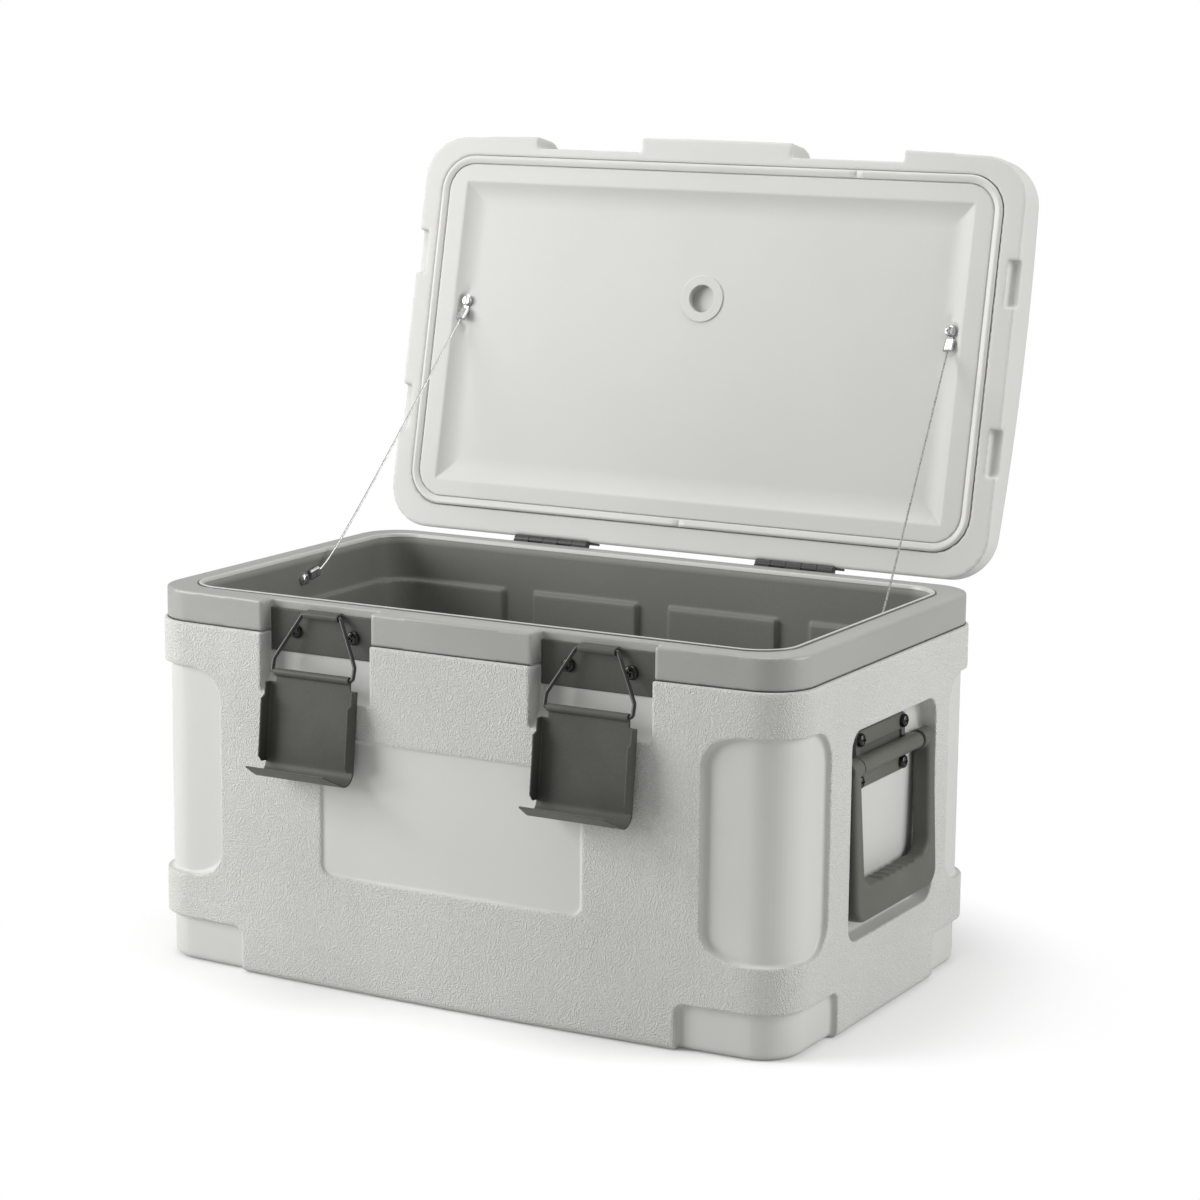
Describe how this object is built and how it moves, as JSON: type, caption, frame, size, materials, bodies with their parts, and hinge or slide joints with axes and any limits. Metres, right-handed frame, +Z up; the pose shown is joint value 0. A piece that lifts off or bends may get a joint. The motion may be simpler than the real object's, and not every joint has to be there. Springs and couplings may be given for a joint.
{
  "type": "hinged-lid cooler",
  "caption": "Moulded insulated cooler with a hinged lid on wire stays, draw latches on the front and bail handles on the sides.",
  "frame": {"origin": "on the floor, at the middle of the tub's underside", "axes": "+X to the right seen from the front, +Y towards the hinges, +Z up; the front with the latches faces -Y"},
  "size_m": [0.515, 0.4522, 0.5715],
  "materials": {
    "shell_plastic": "fine leather-like grain, satin smooth in the recessed panels",
    "liner_plastic": "satin",
    "foam": "cellular foam, sealed in",
    "latch_metal": "matt powder coat",
    "wire_metal": "dark satin coating",
    "black_screw": "black oxide",
    "handle_plastic": "matt moulded",
    "steel_pin": "plain steel",
    "hinge_metal": "matt black",
    "lid_plastic": "satin smooth",
    "gasket_rubber": "soft smooth",
    "bright_steel": "polished"
  },
  "bodies": {
    "base": {"outer_shell": "shell_plastic", "inner_liner": "liner_plastic", "foam_core": "foam", "latch_plate_right": "latch_metal", "latch_plate_left": "latch_metal", "latch_screws": "black_screw", "handle_screws": "black_screw", "handle_bracket_right": "handle_plastic", "handle_bracket_left": "handle_plastic", "handle_pin_right": "steel_pin", "handle_pin_left": "steel_pin", "hinge_leaf_body_right": "hinge_metal", "hinge_leaf_body_left": "hinge_metal", "hinge_pin_right": "hinge_metal", "hinge_pin_left": "hinge_metal", "hinge_screws_body": "black_screw", "stay_screws_body": "bright_steel", "stay_end_body_right": "bright_steel", "stay_end_body_left": "bright_steel", "stay_cable_right": "bright_steel", "stay_cable_left": "bright_steel"},
    "lid": {"lid_shell": "lid_plastic", "lid_inner_panel": "lid_plastic", "lid_foam": "foam", "lid_gasket": "gasket_rubber", "fill_plug": "lid_plastic", "hinge_leaf_lid_right": "hinge_metal", "hinge_leaf_lid_left": "hinge_metal", "hinge_screws_lid": "black_screw", "stay_screws_lid": "bright_steel", "stay_end_lid_right": "bright_steel", "stay_end_lid_left": "bright_steel"},
    "latch_bail_right": {"latch_bail_right": "wire_metal"},
    "latch_lever_right": {"latch_lever_right": "latch_metal"},
    "handle_right": {"handle_grip_right": "handle_plastic"},
    "latch_bail_left": {"latch_bail_left": "wire_metal"},
    "latch_lever_left": {"latch_lever_left": "latch_metal"},
    "handle_left": {"handle_grip_left": "handle_plastic"}
  },
  "joints": [
    {"name": "lid_hinge", "type": "hinge", "parent": "base", "child": "lid", "pos_m": [0, 0.1576, 0.26815], "axis": [1, 0, 0], "range_deg": [0, 101.8], "deforming": ["stay_cable_right", "stay_cable_left"]},
    {"name": "latch_bail_right_swing", "type": "hinge", "parent": "base", "child": "latch_bail_right", "pos_m": [0.1075, -0.1475, 0.2595], "axis": [-1, 0, 0], "range_deg": [0, 95]},
    {"name": "latch_lever_right_flip", "type": "hinge", "parent": "latch_bail_right", "child": "latch_lever_right", "pos_m": [0.1075, -0.1591, 0.22007], "axis": [1, 0, 0], "range_deg": [-175, 0]},
    {"name": "handle_right_swing", "type": "hinge", "parent": "base", "child": "handle_right", "pos_m": [0.2467, 0.0065, 0.1766], "axis": [0, -1, 0], "range_deg": [-2, 132]},
    {"name": "latch_bail_left_swing", "type": "hinge", "parent": "base", "child": "latch_bail_left", "pos_m": [-0.1075, -0.1475, 0.2595], "axis": [-1, 0, 0], "range_deg": [0, 95]},
    {"name": "latch_lever_left_flip", "type": "hinge", "parent": "latch_bail_left", "child": "latch_lever_left", "pos_m": [-0.1075, -0.1591, 0.22007], "axis": [1, 0, 0], "range_deg": [-175, 0]},
    {"name": "handle_left_swing", "type": "hinge", "parent": "base", "child": "handle_left", "pos_m": [-0.2467, 0.0065, 0.1766], "axis": [0, 1, 0], "range_deg": [-2, 132]}
  ]
}
